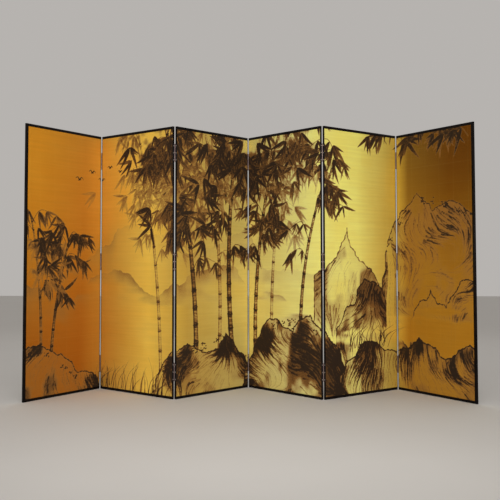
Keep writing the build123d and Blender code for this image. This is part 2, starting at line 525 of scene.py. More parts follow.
class Painting:
    """Ink on the gold of all the panels laid side by side, in metres from the lower left corner."""

    # How much a stroke's rim pales what is there, and the dryness over which a dry brush breaks up
    PALING, DRY = 0.55, (0.45, 0.62)
    # Length of a step of a stroke down a rock, and how softly mist begins along and up
    STEP, ALONG, UP = 0.012, 0.3, 0.06

    def __init__(self, width, height, cell, seed):
        self.cell, self.width = cell, width
        self.random = np.random.default_rng(seed)
        self.uniform, self.normal = self.random.uniform, self.random.normal
        self.x = (np.arange(math.ceil(width / cell)) + 0.5) * cell
        self.y = (np.arange(math.ceil(height / cell)) + 0.5) * cell
        self.ink = np.zeros((len(self.y), len(self.x)), np.float32)
        self.dryness = self.noise(0.02, 0.004, 3)
        self.flow = self.noise(0.3, 0.22, 2)

    def noise(self, across, up, octaves=1):
        """Smooth noise from 0 to 1 in blotches of a size."""
        total = np.zeros_like(self.ink)
        for octave in range(octaves):
            columns, rows = self.x * 2**octave / across, self.y * 2**octave / up
            grid = self.random.random((int(rows[-1]) + 3, int(columns[-1]) + 3), np.float32)
            for axis, places in ((0, rows), (1, columns)):
                whole = places.astype(int)
                part = (places - whole).astype(np.float32)
                part = np.expand_dims(part * part * (3 - 2 * part), 1 - axis)
                first, second = np.take(grid, whole, axis), np.take(grid, whole + 1, axis)
                grid = first * (1 - part) + second * part
            total += grid / 2**octave
        return total / (2 - 2.0 ** (1 - octaves))

    def at(self, field, point):
        """A field's value at one point."""
        row = min(max(int(point[1] / self.cell), 0), len(self.y) - 1)
        return field[row, min(max(int(point[0] / self.cell), 0), len(self.x) - 1)]

    def brush(self, points, widths, tones, dry=0.0, rim=0.0):
        """One stroke of the brush through some points, which may pale what lies round it."""
        points = np.asarray(points, float)
        radii = np.broadcast_to(np.asarray(widths, float) / 2, len(points))
        tones = np.broadcast_to(np.asarray(tones, float), len(points))
        margin = radii.max() + 2 * self.cell + rim
        left, bottom = np.floor((points.min(0) - margin) / self.cell).astype(int).clip(0)
        right, top = np.ceil((points.max(0) + margin) / self.cell).astype(int).clip(0)
        window = self.ink[bottom:top, left:right]
        if window.size == 0:
            return
        stroke, cleared = np.zeros_like(window), np.zeros_like(window)
        for step in range(len(points) - 1):
            a, b = points[step], points[step + 1]
            reach = max(radii[step], radii[step + 1]) + 2 * self.cell + rim
            low = np.floor((np.minimum(a, b) - reach) / self.cell).astype(int)
            high = np.ceil((np.maximum(a, b) + reach) / self.cell).astype(int)
            low, high = (low - (left, bottom)).clip(0), (high - (left, bottom)).clip(0)
            part = stroke[low[1] : high[1], low[0] : high[0]]
            if part.size == 0:
                continue
            x = self.x[left + low[0] : left + low[0] + part.shape[1]][None] - a[0]
            y = self.y[bottom + low[1] : bottom + low[1] + part.shape[0]][:, None] - a[1]
            dx, dy = b - a
            t = np.clip((x * dx + y * dy) / max(dx * dx + dy * dy, 1e-12), 0, 1)
            away = np.hypot(x - t * dx, y - t * dy)
            radius = radii[step] + (radii[step + 1] - radii[step]) * t
            tone = tones[step] + (tones[step + 1] - tones[step]) * t
            np.maximum(part, np.clip((radius - away) / self.cell + 0.5, 0, 1) * tone, out=part)
            if rim:
                part = cleared[low[1] : high[1], low[0] : high[0]]
                np.maximum(part, np.clip((radius + rim - away) / self.cell, 0, 1), out=part)
        if rim:
            window *= 1 - self.PALING * cleared
        if dry:
            stroke *= 1 - dry * eased(self.dryness[bottom:top, left:right], *self.DRY)
        window += (1 - window) * stroke

    def crest(self, points, rough):
        """A broken line through some points: its heights along the picture, its own points, and for
        each place of the picture how deep it lies under the line and whether it does."""
        points = [np.array(p, float) for p in points]
        while len(points) < CREST_POINTS:
            split = []
            for a, b in zip(points, points[1:]):
                span = np.hypot(*(b - a))
                split += [a, (a + b) / 2 + self.normal(0, rough, 2) * span]
            points = split + [points[-1]]
        line = np.array(points)
        line[:, 0] = np.maximum.accumulate(line[:, 0])
        heights = np.interp(self.x, line[:, 0], line[:, 1], left=-1, right=-1)
        depth = heights[None] - self.y[:, None]
        return heights, line, np.maximum(depth, 0), np.clip(depth / self.cell + 0.5, 0, 1)

    def hill(self, points, tone, fade):
        """A far hill in one wash, dark at its crest and gone in the mist below."""
        _, _, depth, inside = self.crest(points, 0.08)
        folds = eased(self.noise(0.22, 0.2, 3), 0.3, 0.75)
        wash = tone * np.exp(-depth / fade) * (0.45 + 0.55 * folds)
        self.ink += inside * (wash - self.ink)

    def rock(self, points, tone, strokes, fade=1.0, grain=1.0, lean=0.0):
        """A rock under a broken crest: a wash, strokes down its sides, dark creases, an outline."""
        heights, line, depth, inside = self.crest(points, 0.1)
        shadow = eased(self.noise(0.11 * grain, 0.16 * grain, 3), 0.38, 0.66)
        light = eased(self.noise(0.5 * grain, 0.4 * grain), 0.3, 0.7)
        wash = tone * (0.24 + 0.52 * shadow * (0.4 + 0.6 * light)) * np.exp(-depth / fade)
        self.ink += inside * (wash - self.ink)
        reach = line[(line[:, 1] > 0) & (line[:, 0] < self.width)]
        left, right = reach[:, 0].min(), reach[:, 0].max()
        for _ in range(strokes):
            x = self.uniform(left, right)
            top = np.interp(x, line[:, 0], line[:, 1])
            place = np.array([x, top - abs(self.normal(0, 0.45)) * max(top, 0.05)])
            dark = self.at(shadow, place)
            if place[1] < 0 or self.random.random() > 0.3 + 0.7 * dark:
                continue
            path = [place]
            for _ in range(self.random.integers(3, 13)):
                turn = (self.at(self.flow, path[-1]) - 0.5) * 4.5 + lean
                angle = -math.pi / 2 + turn + self.normal(0, 0.16)
                step = self.STEP * grain * np.array([math.cos(angle), math.sin(angle)])
                if np.interp(path[-1][0] + step[0], self.x, heights) < path[-1][1] + step[1]:
                    break
                path.append(path[-1] + step)
            if len(path) < 3:
                continue
            share = np.linspace(0, 1, len(path))
            thick = (0.0024 + 0.013 * dark * self.random.random() ** 2) * grain
            faint = np.exp(-max(top - place[1], 0) / fade)
            inked = tone * faint * (0.4 + 0.6 * dark * self.uniform(0.5, 1))
            self.brush(path, thick * (1 - 0.85 * share) + 0.0008, inked * (1 - 0.3 * share), dry=0.4)
        body = 0.0025 + 0.005 * np.abs(np.sin(np.arange(len(reach)) * 0.37)) * grain
        self.brush(reach - (0, 0.002), body, tone, dry=0.25)

    def moss(self, points, count, tone):
        """Dots of moss on and just under a line."""
        points = np.asarray(points, float)
        for _ in range(count):
            x = self.uniform(points[0, 0], points[-1, 0])
            y = np.interp(x, points[:, 0], points[:, 1]) - abs(self.normal(0, 0.02))
            for _ in range(self.random.integers(2, 6)):
                dot = (x, y) + self.normal(0, 0.008, 2)
                size = self.uniform(0.003, 0.008)
                self.brush([dot, dot + (0.004, 0.001)], size, tone, dry=0.2)

    def leaf(self, root, angle, length, tone):
        """A bamboo leaf, put down in one stroke."""
        t = np.linspace(0, 1, 7)
        angles = angle + self.normal(0, 0.22) * t
        steps = length / (len(t) - 1) * np.stack([np.cos(angles), np.sin(angles)], 1)
        points = np.vstack([[root], root + np.cumsum(steps[:-1], 0)])
        width = length * 0.15 * np.sin(np.pi * t**0.65) ** 0.8 + 0.0006
        self.brush(points, width, tone * (1 - 0.25 * t), dry=0.12, rim=0.0016)

    def spray(self, tip, heading, size, tone):
        """A few leaves hanging from a twig's tip."""
        for _ in range(self.random.integers(4, 8)):
            angle = heading + self.normal(0, 0.5)
            length = size * self.uniform(0.6, 1.15)
            self.leaf(tip, angle, length, tone * self.uniform(0.65, 1.05))

    def foliage(self, centre, spread, count, size, tone):
        """A mass of leaves over a soft wash."""
        across, up = (self.x[None] - centre[0]) / spread[0], (self.y[:, None] - centre[1]) / spread[1]
        wash = eased(self.noise(0.06, 0.05, 3) - 0.22 * np.hypot(across, up), 0.1, 0.5) * tone * 0.45
        self.ink += (1 - self.ink) * wash
        for _ in range(count):
            place = centre + self.normal(0, 1, 2) * spread
            self.spray(place, -math.pi / 2 + self.normal(0, 0.7), size, tone)

    def bamboo(self, foot, top, bow, width, tone, leaves=1.0):
        """A stalk in joints from foot to top, with twigs and leaves on its upper part."""
        foot, top = np.array([foot, top])
        length = np.hypot(*(top - foot))
        side = np.array([top[1] - foot[1], foot[0] - top[0]]) / length
        joints, place = [0.0], 0.05 + self.uniform(0, 0.04)
        while place < length:
            joints.append(place / length)
            place += self.uniform(0.085, 0.15) * (0.7 + 0.5 * place / length)
        joints.append(1.0)
        for start, end in zip(joints, joints[1:]):
            t = np.linspace(start + 0.003 / length, end - 0.003 / length, 5)[:, None]
            line = foot + (top - foot) * t + side * bow * 4 * t * (1 - t)
            taper = width * (1 - 0.5 * t[:, 0])
            swell = 1 + 0.18 * np.linspace(-1, 1, 5) ** 2
            self.brush(line, taper * swell, tone * 0.55, dry=0.45)
            self.brush(line - side * (taper * 0.38)[:, None], taper * 0.26, tone * 0.8, dry=0.25)
            self.brush(line + side * (taper * 0.42)[:, None], taper * 0.16, tone * 0.6, dry=0.3)
            bend = [(k, 0.012 * k * k) for k in (-0.62, -0.3, 0, 0.3, 0.62)]
            ring = [line[-1] + side * taper[-1] * k + (0, rise) for k, rise in bend]
            self.brush(ring, [0.003, 0.005, 0.0055, 0.005, 0.003], min(tone * 1.1, 1))
            for height in (0.34, 0.6):
                if (start + end) / 2 > height and self.random.random() < leaves:
                    self.twig(line[-1], self.random.choice((-1, 1)), tone)

    def twig(self, root, side, tone, size=1.0):
        """A twig that rises from a joint and hangs with leaves."""
        reach, rise = size * self.uniform(0.08, 0.2), size * self.uniform(0.03, 0.12)
        line = curve([root, root + (side * reach * 0.35, rise), root + (side * reach, rise * 0.6)], 5)
        self.brush(line, np.linspace(0.004, 0.002, len(line)), tone * 0.9)
        for share in (0.45, 0.75, 1.0):
            heading = -math.pi / 2 + side * self.uniform(0.1, 0.9)
            tip = line[int(share * (len(line) - 1))]
            self.spray(tip, heading, size * self.uniform(0.08, 0.14), tone)

    def reeds(self, left, right, foot, count, height, tone):
        """Grasses that rise and bow to one side."""
        for x in self.uniform(left, right, count):
            tall, bow = height * self.uniform(0.5, 1), self.normal(0.03, 0.05)
            y = foot + self.normal(0, 0.12) * height
            line = curve([(x, y), (x + bow * 0.3, y + tall * 0.6), (x + bow, y + tall)], 4)
            self.brush(line, np.linspace(0.0045, 0.001, len(line)), tone * self.uniform(0.5, 1))

    def goose(self, x, y, span, tone):
        """A far bird in flight."""
        wing = [(-1, 0.15), (-0.45, 0.42), (0, 0), (0.5, 0.38), (1, 0)]
        line = curve(np.array(wing) * span + (x, y), 4)
        self.brush(line, 0.002 + 0.005 * np.sin(np.linspace(0, np.pi, len(line))), tone)
        self.brush([(x - span * 0.2, y - span * 0.1), (x + span * 0.5, y)], [0.007, 0.002], tone)

    def fall(self, points, width):
        """A waterfall: bare gold with a few threads of ink."""
        line = curve(points, 6)
        for k in range(len(line) - 1):
            low, high = sorted((line[k][1], line[k + 1][1]))
            rows = (self.y >= low) & (self.y < high)
            middle = np.interp(self.y[rows], (low, high), (line[k + 1][0], line[k][0]))
            wide = width * (1 + 0.8 * (line[0][1] - self.y[rows]) / (line[0][1] - line[-1][1]))
            near = np.abs(self.x[None] - middle[:, None]) / wide[:, None]
            self.ink[rows] *= eased(near, 0.42, 0.6)
        for shift in self.uniform(-0.35, 0.35, 7):
            start = self.random.integers(0, len(line) // 2)
            tone = self.uniform(0.25, 0.5)
            self.brush(line[start:] + (shift * width, 0), 0.0016, tone, dry=0.6)

    def mist(self, low, high, size, left=0.0, amount=1.0):
        """Bands of bare gold over what is already painted."""
        bands = eased(self.noise(size * 5, size, 3), 0.4, 0.6)
        window = eased(self.x, left, left + self.ALONG)
        height = eased(self.y, low - self.UP, low) * (1 - eased(self.y, high, high + self.UP))
        self.ink *= 1 - amount * bands * window[None] * height[:, None]

    def sample(self, x, y):
        """The ink at some points, as shares of black."""
        column = np.clip(x / self.cell - 0.5, 0, len(self.x) - 1.001)
        row = np.clip(y / self.cell - 0.5, 0, len(self.y) - 1.001)
        left, low = column.astype(int), row.astype(int)
        u, v = column - left, row - low
        lower = self.ink[low, left] * (1 - u) + self.ink[low, left + 1] * u
        upper = self.ink[low + 1, left] * (1 - u) + self.ink[low + 1, left + 1] * u
        return (lower * (1 - v) + upper * v).astype(np.float32)


def paint_landscape(width, height, cell, seed):
    """Misty hills on the left, crags on the right and bamboo between them."""
    p = Painting(width, height, cell, seed)
    far = [(-0.1, 0.5), (0.5, 0.78), (0.9, 0.98), (1.3, 0.8), (1.8, 0.95), (2.3, 0.7), (3.7, 0.6)]
    near = [(-0.1, 0.62), (0.3, 0.5), (0.7, 0.7), (1.1, 0.56), (1.6, 0.74), (2.2, 0.5), (3.7, 0.7)]
    p.hill(far, 0.3, 0.2)
    p.hill(near, 0.42, 0.16)
    p.mist(0.25, 0.6, 0.09)
    # Crags on the right, the nearer over the farther
    far = [(2.2, 0.1), (2.36, 0.4), (2.45, 0.74), (2.6, 0.95), (2.72, 0.76), (2.9, 0.55), (3.05, 0.2)]
    high = [(2.8, 0.2), (2.93, 0.8), (3.05, 1.02), (3.2, 1.16), (3.32, 1.05), (3.45, 1.1), (3.75, 0.98)]
    near = [(2.4, 0.0), (2.58, 0.48), (2.74, 0.66), (2.87, 0.62), (3.0, 0.4), (3.12, 0.1)]
    p.rock(far, 0.6, 400, fade=0.6)
    p.rock(high, 0.75, 700, fade=0.7)
    p.rock(near, 0.85, 450, fade=0.7)
    p.fall([(2.96, 0.86), (2.985, 0.7), (2.97, 0.45), (3.0, 0.2)], 0.045)
    p.rock([(3.04, 0.0), (3.14, 0.42), (3.3, 0.6), (3.42, 0.5), (3.55, 0.66), (3.75, 0.62)], 0.9, 600)
    p.mist(0.22, 0.5, 0.08, 2.2, amount=0.85)
    # Bamboo, the paler behind
    for foot, top, bow, wide, tone in (
        ((1.12, 0.1), (0.9, 1.6), 0.05, 0.026, 0.42),
        ((1.56, 0.2), (1.42, 1.6), 0.06, 0.03, 0.45),
        ((2.02, 0.3), (2.2, 1.6), -0.05, 0.026, 0.42),
        ((1.37, 0.14), (1.12, 1.6), 0.07, 0.038, 0.85),
        ((1.68, 0.2), (1.74, 1.6), -0.06, 0.042, 0.95),
        ((1.88, 0.14), (2.12, 1.6), -0.08, 0.034, 0.8),
        ((0.12, 0.14), (0.05, 0.98), 0.03, 0.022, 0.7),
        ((0.2, 0.14), (0.34, 0.88), -0.03, 0.024, 0.9),
        ((2.26, 0.3), (2.52, 1.34), -0.07, 0.026, 0.85),
    ):
        p.bamboo(foot, top, bow, wide, tone)
    # Near rocks from the middle to the right, then at the left end
    low = [(1.0, -0.05), (1.12, 0.16), (1.3, 0.3), (1.46, 0.24), (1.62, 0.34), (1.78, 0.2), (1.95, -0.05)]
    tall = [(1.72, -0.05), (1.86, 0.24), (2.04, 0.42), (2.2, 0.36), (2.34, 0.46), (2.5, 0.3), (2.66, -0.05)]
    long = [(2.4, -0.05), (2.6, 0.2), (2.8, 0.3), (3.02, 0.22), (3.2, 0.32), (3.4, 0.22), (3.75, 0.3)]
    left = [(-0.1, 0.24), (0.12, 0.3), (0.28, 0.24), (0.42, 0.12), (0.55, 0.1), (0.72, -0.05)]
    p.rock(low, 0.9, 700, grain=0.9)
    p.rock(tall, 1.0, 800, lean=0.2)
    p.rock(long, 1.0, 900, lean=-0.2)
    p.rock(left, 0.95, 450, grain=0.9)
    for line, count in (
        ([(1.1, 0.14), (1.3, 0.28), (1.62, 0.32), (1.8, 0.18)], 26),
        ([(1.84, 0.2), (2.04, 0.4), (2.34, 0.44), (2.55, 0.2)], 30),
        ([(2.9, 0.78), (3.05, 1.0), (3.2, 1.14), (3.45, 1.08), (3.7, 0.98)], 26),
        ([(0.0, 0.26), (0.12, 0.28), (0.42, 0.1)], 14),
    ):
        p.moss(line, count, 0.95)
    # Leaves, the paler behind
    for centre, spread, count, size, tone in (
        ((1.2, 1.2), (0.2, 0.12), 60, 0.13, 0.4),
        ((1.85, 1.28), (0.25, 0.1), 60, 0.13, 0.42),
        ((0.2, 0.78), (0.12, 0.08), 16, 0.1, 0.35),
        ((1.05, 1.38), (0.14, 0.07), 24, 0.14, 0.85),
        ((1.7, 1.36), (0.22, 0.08), 38, 0.14, 0.95),
        ((2.2, 1.38), (0.12, 0.07), 18, 0.13, 0.85),
        ((1.28, 1.02), (0.1, 0.08), 14, 0.13, 0.9),
        ((2.0, 0.98), (0.1, 0.06), 12, 0.12, 0.85),
        ((0.12, 0.82), (0.08, 0.06), 8, 0.11, 0.9),
    ):
        p.foliage(centre, spread, count, size, tone)
    for x in np.arange(2.85, 3.62, 0.13):
        p.twig(np.array((x + 0.1, 1.44 + 0.04 * math.sin(9 * x))), -1, 0.9, 1.3)
    p.reeds(0.5, 1.15, 0.0, 70, 0.17, 0.85)
    p.reeds(2.62, 2.95, 0.27, 40, 0.15, 0.85)
    for x, y, span in (
        (0.42, 1.24, 0.034),
        (0.53, 1.29, 0.03),
        (0.61, 1.25, 0.026),
        (0.68, 1.32, 0.024),
        (0.77, 1.29, 0.02),
    ):
        p.goose(x, y, span, 0.75)
    p.ink *= 0.86 + 0.28 * p.noise(0.004, 0.004, 2)
    p.ink = np.clip(p.ink, 0, 1)
    return p


# What a user may change


def a_colour(name, description, default):
    """The setting of a colour."""
    return FloatVectorProperty(
        name=name, description=description, default=default, subtype="COLOR", size=3, min=0, max=1
    )


def a_length(name, description, default, low, high):
    """The setting of a length in metres."""
    return FloatProperty(
        name=name,
        description=description,
        default=default,
        unit="LENGTH",
        min=low,
        max=high,
        precision=5,
    )


def a_share(name, description, default):
    """The setting of a share, from 0 to 1."""
    return FloatProperty(
        name=name, description=description, default=default, subtype="FACTOR", min=0, max=1
    )


class PictureSettings(bpy.types.PropertyGroup):
    """The painted faces."""

    cell: a_length("Cell", "Spacing of the points that carry the ink", 0.0032, 0.003, 0.02)
    seed: IntProperty(
        name="Seed",
        description="Another number paints another landscape of the same kind",
        default=7,
        min=0,
    )
    leaf_size: a_length("Leaf", "Side of a square of gold leaf", 0.109, 0.02, 1.0)
    gold: a_colour("Gold", "Gold of the ground on the left of the middle", (0.95, 0.73, 0.145))
    # Painted shade and painted light in the gold's colour: the darker gold of the middle, the paler gold
    # and the painted highlight right of it
    painted_shade_middle: a_colour("Middle gold", "Gold of the middle", (0.67, 0.475, 0.11))
    painted_light_pale: a_colour("Pale gold", "Paler gold on the right of the middle", (0.89, 0.88, 0.37))
    painted_highlight: a_colour("Light gold", "Lightest gold, beside the right end", (1.0, 0.98, 0.33))
    # Painted shade in the gold's colour at the two ends and near the first and last folds
    painted_shade_end: a_colour(
        "Deep gold", "Gold low at the left end and high at the right end", (0.5, 0.19, 0.02)
    )
    painted_shade_side: a_colour(
        "Side gold", "Gold high at the left end and low at the right end", (0.8, 0.42, 0.04)
    )
    painted_shade_fold: a_colour("Fold gold", "Gold high beside the first fold", (0.7, 0.36, 0.05))
    painted_shade_turn: a_colour("Turn gold", "Gold high beside the last fold", (0.3, 0.17, 0.03))
    # How much darker the painted shade is before the last fold and at the right end than at the left
    painted_shade_fading: a_share("Fading", "How bright the gold before the last fold is beside the left", 0.8)
    right_end_shade: a_share(
        "Right end", "How bright the deep gold of the right end is beside the left", 0.42
    )
    right_side_shade: a_share(
        "Right side", "How bright the side gold of the right end is beside the left", 0.75
    )
    gold_worn: a_colour("Worn gold", "Tint of the gold where it is thin", (0.95, 0.86, 0.66))
    gold_lap: a_colour("Lap", "Light added where two leaves overlap", (0.12, 0.1, 0.03))
    wash: a_colour("Wash", "Thin brown ink", (0.27, 0.115, 0.022))
    ink: a_colour("Ink", "Full-strength ink", (0.022, 0.011, 0.004))


class FrameSettings(bpy.types.PropertyGroup):
    """The lacquered frames."""

    rounding: a_length("Rounding", "Rounding of the frame's edges", 0.0005, 0.0002, 0.003)
    corner: a_length(
        "Corner", "Rounding of the screen's four upright corners", 0.00145, 0.0002, 0.004
    )
    lacquer: a_colour("Lacquer", "Black of the lacquer", (0.0025, 0.0015, 0.0015))
    lacquer_worn: a_colour("Worn lacquer", "Where handling has warmed it", (0.012, 0.005, 0.003))


class HingeSettings(bpy.types.PropertyGroup):
    """Leaves, pins and screws."""

    metal: a_colour("Metal", "Dark patina of the hinges", (0.24, 0.17, 0.165))
    metal_bright: a_colour("Rubbed metal", "Where the patina has worn off", (0.5, 0.4, 0.3))
    steel: a_colour("Steel", "Dark steel of the pins", (0.16, 0.14, 0.14))
    screw: a_colour("Screws", "Steel of the screws", (0.5, 0.45, 0.4))
    corner: a_length("Corner", "Rounding of the far corners of a leaf", 0.0025, 0.0002, 0.005)
    rounding: a_length("Rounding", "Rounding of the edges of the leaves", 0.00015, 0.00005, 0.0006)


class BackSettings(bpy.types.PropertyGroup):
    """Paper backs and the cedar inside."""

    sheet_height: a_length("Sheet", "Height of a sheet of backing paper", 0.33, 0.1, 1.0)
    paper: a_colour("Paper", "Colour of the backing paper", (0.2, 0.15, 0.085))
    paper_light: a_colour("Fibres", "Lighter fibres and clouds", (0.33, 0.26, 0.16))
    paper_lap: a_colour("Laps", "Where two sheets overlap", (0.15, 0.11, 0.06))
    cedar: a_colour("Cedar", "Early wood of the lattice", (0.6, 0.38, 0.2))
    cedar_late: a_colour("Late wood", "Darker late wood", (0.42, 0.22, 0.1))


class StageSettings(bpy.types.PropertyGroup):
    """Floor, light and camera."""

    floor: a_colour("Floor", "Colour of the floor", (0.62, 0.6, 0.57))
    backdrop: a_colour("Backdrop", "Colour behind the screen", (0.47, 0.45, 0.43))
    key: FloatProperty(
        name="Key light",
        description="Power of the soft light in front",
        default=34.5,
        unit="POWER",
        min=0,
    )
    focal_length: FloatProperty(
        name="Focal length", description="Lens of the camera in millimetres", default=60.09, min=10
    )


# One operator for each kind of piece


class FOLDINGSCREEN_OT_pictures(bpy.types.Operator):
    """Paints the landscape and lays it on the panels"""

    bl_idname = "folding_screen.pictures"
    bl_label = "Pictures"

    def execute(self, context):
        settings = context.scene.folding_screen_picture
        painting = paint_landscape(LENGTH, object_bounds()[1][2], settings.cell / 2, settings.seed)
        material = gilded_picture(settings)
        for number, place in PLACES.items():
            node = f"panel_{number}_picture"
            low, high = place.box(node)
            size, middle = high - low, (low + high) / 2
            columns, rows = round(size.x / settings.cell), round(size.z / settings.cell)
            upright = Matrix.Rotation(math.pi / 2, 3, "X")
            bm = bmesh.new()
            bmesh.ops.create_grid(bm, x_segments=columns, y_segments=rows, size=0.5)
            bmesh.ops.scale(bm, vec=(size.x, size.z, 1), verts=bm.verts)
            bmesh.ops.rotate(bm, cent=(0, 0, 0), matrix=upright, verts=bm.verts)
            bmesh.ops.translate(bm, vec=(middle.x, low.y, middle.z), verts=bm.verts)
            outline = [edge for edge in bm.edges if edge.is_boundary]
            rim = bmesh.ops.extrude_edge_only(bm, edges=outline)["geom"]
            bmesh.ops.translate(bm, vec=(0, size.y, 0), verts=of_kind(bmesh.types.BMVert, rim))
            outline = [edge for edge in of_kind(bmesh.types.BMEdge, rim) if edge.is_boundary]
            bmesh.ops.contextual_create(bm, geom=outline)
            body = f"panel_{number}"
            name, own = f"{body}_painting", Matrix.Identity(4)
            piece = finish_piece(bm, name, own, body, [node], material, smooth=False)
            self.carry_ink(piece.data, painting, (number - 1) * WIDTH)
            piece.data.transform(place.matrix)
        return {"FINISHED"}

    def carry_ink(self, mesh, painting, start):
        """Gives a board's points their ink, and its faces their place in the unfolded picture."""
        points = np.empty(len(mesh.vertices) * 3, np.float32)
        mesh.vertices.foreach_get("co", points)
        points = points.reshape(-1, 3)
        flat = np.stack([points[:, 0] + start, points[:, 2]], 1)
        ink = mesh.attributes.new("ink", "FLOAT", "POINT")
        ink.data.foreach_set("value", painting.sample(flat[:, 0], flat[:, 1]))
        corners = np.empty(len(mesh.loops), np.int32)
        mesh.loops.foreach_get("vertex_index", corners)
        layer = mesh.uv_layers.new(name="unfolded")
        layer.data.foreach_set("uv", flat[corners].astype(np.float32).ravel())


class FOLDINGSCREEN_OT_frames(bpy.types.Operator):
    """Makes the lacquered rails, end stiles and edge strips"""

    bl_idname = "folding_screen.frames"
    bl_label = "Lacquered frames"

    def execute(self, context):
        settings = context.scene.folding_screen_frame
        material = black_lacquer(settings)
        for number, place in PLACES.items():
            first, last = number == 1, number == PANELS
            for side, up in (("bottom", 1), ("top", -1)):
                bm = bmesh.new()
                low, high = place.box(f"panel_{number}_{side}_rail")
                end = (0, low.x if first else high.x) if first or last else None
                add_bar(bm, low, high, settings.rounding, first, last, up, end, settings.corner)
                self.lay(bm, place, f"{side}_rail", material)
            if first or last:
                bm = bmesh.new()
                low, high = place.box(f"panel_{number}_outer_stile")
                turn = Matrix.Rotation(math.radians(90 if first else -90), 4, "Y")
                low, high = bounds_of([turn.inverted() @ low, turn.inverted() @ high])
                end = (2, low.z)
                add_bar(bm, low, high, settings.rounding, True, True, 1, end, settings.corner)
                bmesh.ops.transform(bm, matrix=turn, verts=bm.verts)
                self.lay(bm, place, "outer_stile", material)
            bm = bmesh.new()
            strips = "edge_strip" if first or last else "edge_strips"
            points = place.points(f"panel_{number}_{strips}")
            low, high = bounds_of(points)
            for left, right in spans([p.x for p in points], STRIP_GAP):
                low.x, high.x = left, right
                add_bar(bm, low, high, settings.rounding / 2)
            self.lay(bm, place, strips, material)
        return {"FINISHED"}

    def lay(self, bm, place, part, material):
        node = f"panel_{place.number}_{part}"
        replace_node(bm, node, "lacquered", place.matrix, material)


class HingeEdge:
    """A panel's edge at a fold: the pin's axis on Z, the panel towards -X, its leaf towards +Y."""

    def __init__(self, fold, side):
        self.fold, self.side = fold, side
        self.place = PLACES[fold if side == "left" else fold + 1]
        self.number = self.place.number
        axis = self.place.matrix.inverted() @ Vector(frame["joints"][fold - 1]["pos_m"])
        turn = Matrix.Diagonal((1 if side == "left" else -1, 1 if axis.y < 0 else -1, 1, 1))
        self.matrix = self.place.matrix @ Matrix.Translation((axis.x, axis.y, 0)) @ turn

    def points(self, node):
        """A node's corners seen from the axis, without those of the panel's other edge."""
        seen = corners_of(node, self.matrix)
        return [point for point in seen if abs(point.x) < self.place.width / 2]

    def stacked(self, node, gap):
        """The corners of each of a node's solids, which stand one above another."""
        points = self.points(node)
        heights = spans([p.z for p in points], gap)
        return [[p for p in points if low <= p.z <= high] for low, high in heights]

    def screws(self):
        """Each screw's box and the radius of its shank, with its corners."""
        for screw in self.stacked(f"panel_{self.number}_screws", SCREW_GAP):
            low, high = bounds_of(screw)
            point = bounds_of([p for p in screw if p.x < low.x + POINT])
            yield low, high, (point[1].z - point[0].z) / 2, screw


def pull(bm, faces):
    """Extrudes some faces and returns the new geometry and its corners, still in place."""
    around = {item for face in faces for item in (*face.edges, *face.verts)}
    grown = bmesh.ops.extrude_face_region(bm, geom=[*faces, *around])["geom"]
    return grown, of_kind(bmesh.types.BMVert, grown)


def add_leaf(bm, points, holes, corner, rounding):
    """A leaf of sheet metal with countersunk holes, its knuckles rolled from the same sheet."""
    low, high = bounds_of(points)
    outer = high.x
    near = [p for p in points if math.hypot(p.x, p.y) < outer * BARREL]
    bore = min(math.hypot(p.x, p.y) for p in near)
    levels = sorted({round(p.z, 6) for p in near})
    knuckles = list(zip(levels[::2], levels[1::2]))
    (back, start, _), (face, end, _) = bounds_of([p for p in points if p.y > outer * BARREL])
    leaf = bmesh.new()
    across = end - start, 0, 0, (start + end) / 2
    up = 0, high.z - low.z, 0, (low.z + high.z) / 2
    lay = Matrix(((0, 0, 1, face), across, up, (0, 0, 0, 1)))
    bmesh.ops.create_grid(leaf, x_segments=1, y_segments=1, size=0.5, matrix=lay)
    far = [vert for vert in leaf.verts if vert.co.y > (start + end) / 2]
    bevel(leaf, far, corner, 4, "VERTICES")
    for level in levels:
        if low.z + CLOSE < level < high.z - CLOSE:
            cut(leaf, (0, 0, level), (0, 0, 1))
    rims = []
    for centre, radius, shank in holes:
        strips = {f: [v.co.z for v in f.verts] for f in leaf.faces}
        strip = next(f for f, heights in strips.items() if min(heights) < centre.z < max(heights))
        edges = strip.edges[:]
        rim = Vector((face, centre.y, centre.z))
        around = Matrix.Translation(rim) @ Matrix.Rotation(math.pi / 2, 4, "Y")
        size = {"segments": HEAD_SIDES, "radius": radius}
        circle = bmesh.ops.create_circle(leaf, cap_ends=False, matrix=around, **size)["verts"]
        edges += list({edge for vert in circle for edge in vert.link_edges})
        bmesh.ops.delete(leaf, geom=[strip], context="FACES_ONLY")
        bmesh.ops.triangle_fill(leaf, use_beauty=True, use_dissolve=False, edges=edges)
        rims.append((rim, radius, shank))
    _, under = pull(leaf, leaf.faces[:])
    bmesh.ops.translate(leaf, vec=(back - face, 0, 0), verts=under)
    for centre, radius, shank in rims:
        inside = Vector((back, centre.y, centre.z))
        narrow = [vert for vert in under if (vert.co - inside).length < radius + CLOSE]
        scale = Vector((1, shank / radius, shank / radius))
        bmesh.ops.scale(leaf, vec=scale, verts=narrow, space=Matrix.Translation(-inside))
    leaf.normal_update()
    for bottom, top in knuckles:
        middles = {f: f.calc_center_median() for f in leaf.faces}
        end_face = next(
            f for f, at in middles.items() if abs(at.y - start) < SAME and bottom < at.z < top
        )
        grown, verts = pull(leaf, [end_face])
        for vert in verts:
            vert.co.x = -outer if abs(vert.co.x - back) < SAME else -bore
            vert.co.y = 0
        turn = {"cent": (0, 0, 0), "axis": (0, 0, 1), "dvec": (0, 0, 0)}
        bmesh.ops.spin(leaf, geom=grown, angle=math.radians(ROLL), steps=ROLL_STEPS, **turn)
    bmesh.ops.remove_doubles(leaf, verts=leaf.verts, dist=SAME)
    bmesh.ops.recalc_face_normals(leaf, faces=leaf.faces)
    holed = {v for v in leaf.verts for rim, radius, _ in rims if (v.co - rim).length < radius * HOLE_REACH}
    sharp = [e for e in leaf.edges if e.calc_face_angle() > ARRIS and not holed.issuperset(e.verts)]
    bevel(leaf, sharp, rounding, 1)
    join(bm, leaf)


